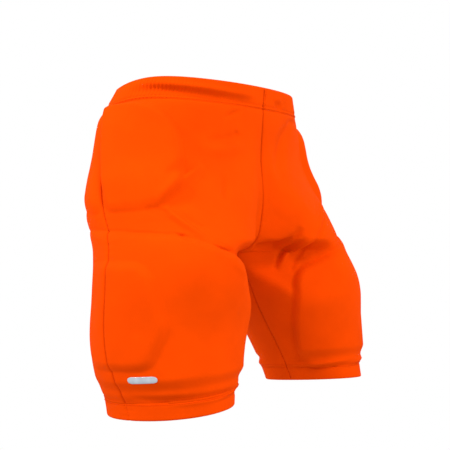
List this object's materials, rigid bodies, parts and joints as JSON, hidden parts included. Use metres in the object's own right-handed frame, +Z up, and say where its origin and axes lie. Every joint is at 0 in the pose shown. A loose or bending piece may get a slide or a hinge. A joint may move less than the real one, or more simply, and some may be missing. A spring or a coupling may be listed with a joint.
{
  "type": "padded impact shorts",
  "caption": "Stretch mid-thigh shorts with foam impact pads in pockets at hips, seat, tail and thighs, elastic waist and turned hems, shown as worn.",
  "frame": {"origin": "middle of the waist opening, where the wearer's waist holds the shorts up", "axes": "+Z up the wearer, -Y to the wearer's front, +X to the wearer's left"},
  "size_m": [0.48, 0.2874, 0.4508],
  "materials": {
    "shell_knit": "fluorescent orange matte stretch warp knit",
    "band_knit": "folded orange knit over elastic, gathered",
    "thread": "orange overlock and coverstitch thread",
    "foam": "closed-cell foam, matte charcoal",
    "lining_mesh": "open orange lining mesh",
    "elastic": "woven rubber-core elastic",
    "reflective_print": "thin light grey reflective transfer film"
  },
  "bodies": {
    "pelvis": {"waistband_casing": "band_knit", "waist_elastic": "elastic", "front_panel_left": "shell_knit", "front_panel_right": "shell_knit", "back_panel_left": "shell_knit", "back_panel_right": "shell_knit", "side_seam_left": "thread", "side_seam_right": "thread", "inseam_left": "thread", "inseam_right": "thread", "front_rise_seam": "thread", "back_rise_seam": "thread", "hip_pad_left": "foam", "hip_pad_right": "foam", "rear_hip_pad_left": "foam", "rear_hip_pad_right": "foam", "tail_pad": "foam", "hip_pocket_left": "lining_mesh", "hip_pocket_right": "lining_mesh", "rear_hip_pocket_left": "lining_mesh", "rear_hip_pocket_right": "lining_mesh", "tail_pocket": "lining_mesh"},
    "left_leg": {"thigh_pad_left": "foam", "thigh_pocket_left": "lining_mesh", "outer_pad_left": "foam", "hem_left": "band_knit", "hem_elastic_left": "elastic"},
    "right_leg": {"thigh_pad_right": "foam", "thigh_pocket_right": "lining_mesh", "outer_pad_right": "foam", "hem_right": "band_knit", "hem_elastic_right": "elastic", "reflective_bar": "reflective_print"}
  },
  "joints": [
    {"name": "left_hip_swing", "type": "hinge", "parent": "pelvis", "child": "left_leg", "pos_m": [0.11, -0.03, -0.175], "axis": [-1, 0, 0], "range_deg": [-15, 60], "deforming": ["front_panel_left", "back_panel_left", "side_seam_left", "inseam_left"]},
    {"name": "right_hip_swing", "type": "hinge", "parent": "pelvis", "child": "right_leg", "pos_m": [-0.11, -0.03, -0.175], "axis": [-1, 0, 0], "range_deg": [-15, 60], "deforming": ["front_panel_right", "back_panel_right", "side_seam_right", "inseam_right"]}
  ]
}
